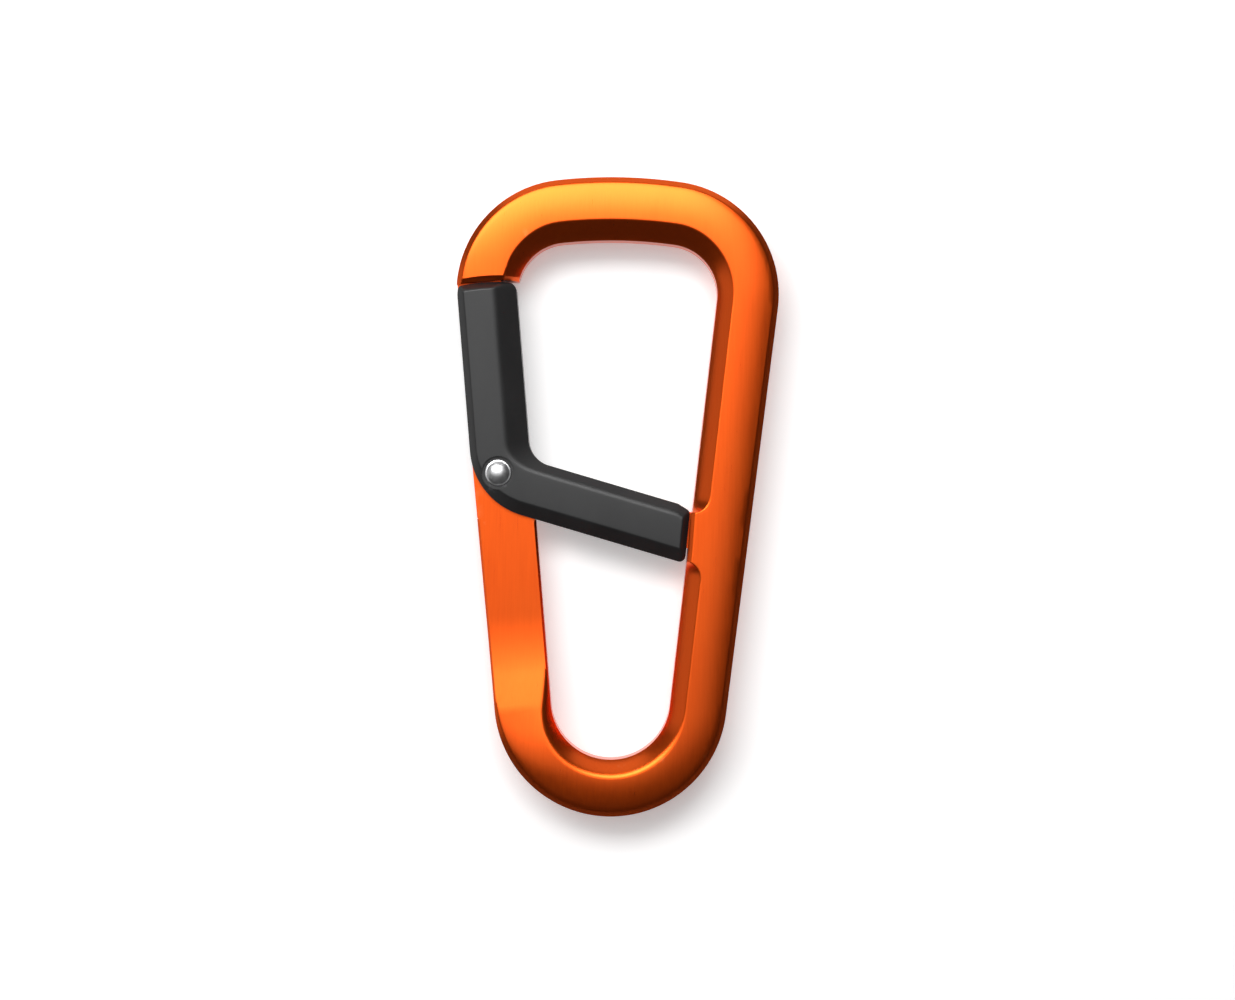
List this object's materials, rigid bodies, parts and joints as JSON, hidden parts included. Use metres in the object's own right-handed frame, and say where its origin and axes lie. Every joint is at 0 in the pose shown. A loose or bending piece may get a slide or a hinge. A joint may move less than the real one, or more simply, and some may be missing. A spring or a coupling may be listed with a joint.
{
  "type": "keyring carabiner",
  "caption": "Flat keyring carabiner: anodised orange ring with a black one-piece rocker gate that closes its side and divides it into an upper and a lower compartment.",
  "frame": {"origin": "middle of the bounding box in X and Y, on the plane of the ring's back face, which it rests on", "axes": "+Y along the ring towards its wide end, +Z out of the front face, +X to the right of the front face, away from the gate"},
  "size_m": [0.0348, 0.069, 0.0064],
  "materials": {
    "orange_anodised": "brushed along the length, anodised orange, semi-gloss",
    "black_anodised": "satin, anodised black",
    "rivet_steel": "smooth domed head",
    "plunger_steel": "turned",
    "spring_steel": "drawn wire"
  },
  "bodies": {
    "ring": {"frame": "orange_anodised"},
    "gate": {"gate": "black_anodised", "pivot_rivet": "rivet_steel", "spring": "spring_steel"},
    "plunger": {"plunger": "plunger_steel"}
  },
  "joints": [
    {"name": "gate_pivot", "type": "hinge", "parent": "ring", "child": "gate", "pos_m": [-0.01254, 0.00238, 0.0032], "axis": [0, 0, -1], "range_deg": [0, 40], "stiffness_Nm_per_rad": 0.0098, "springref_deg": -95.68},
    {"name": "plunger_slide", "type": "slide", "parent": "gate", "child": "plunger", "axis": [-0.0976, 0.9952, 0], "range_m": [0, 0.00084], "deforming": ["spring"]}
  ],
  "couplings": [
    {"joint": "plunger_slide", "follows": "gate_pivot", "m_per_rad": 0.0012}
  ]
}
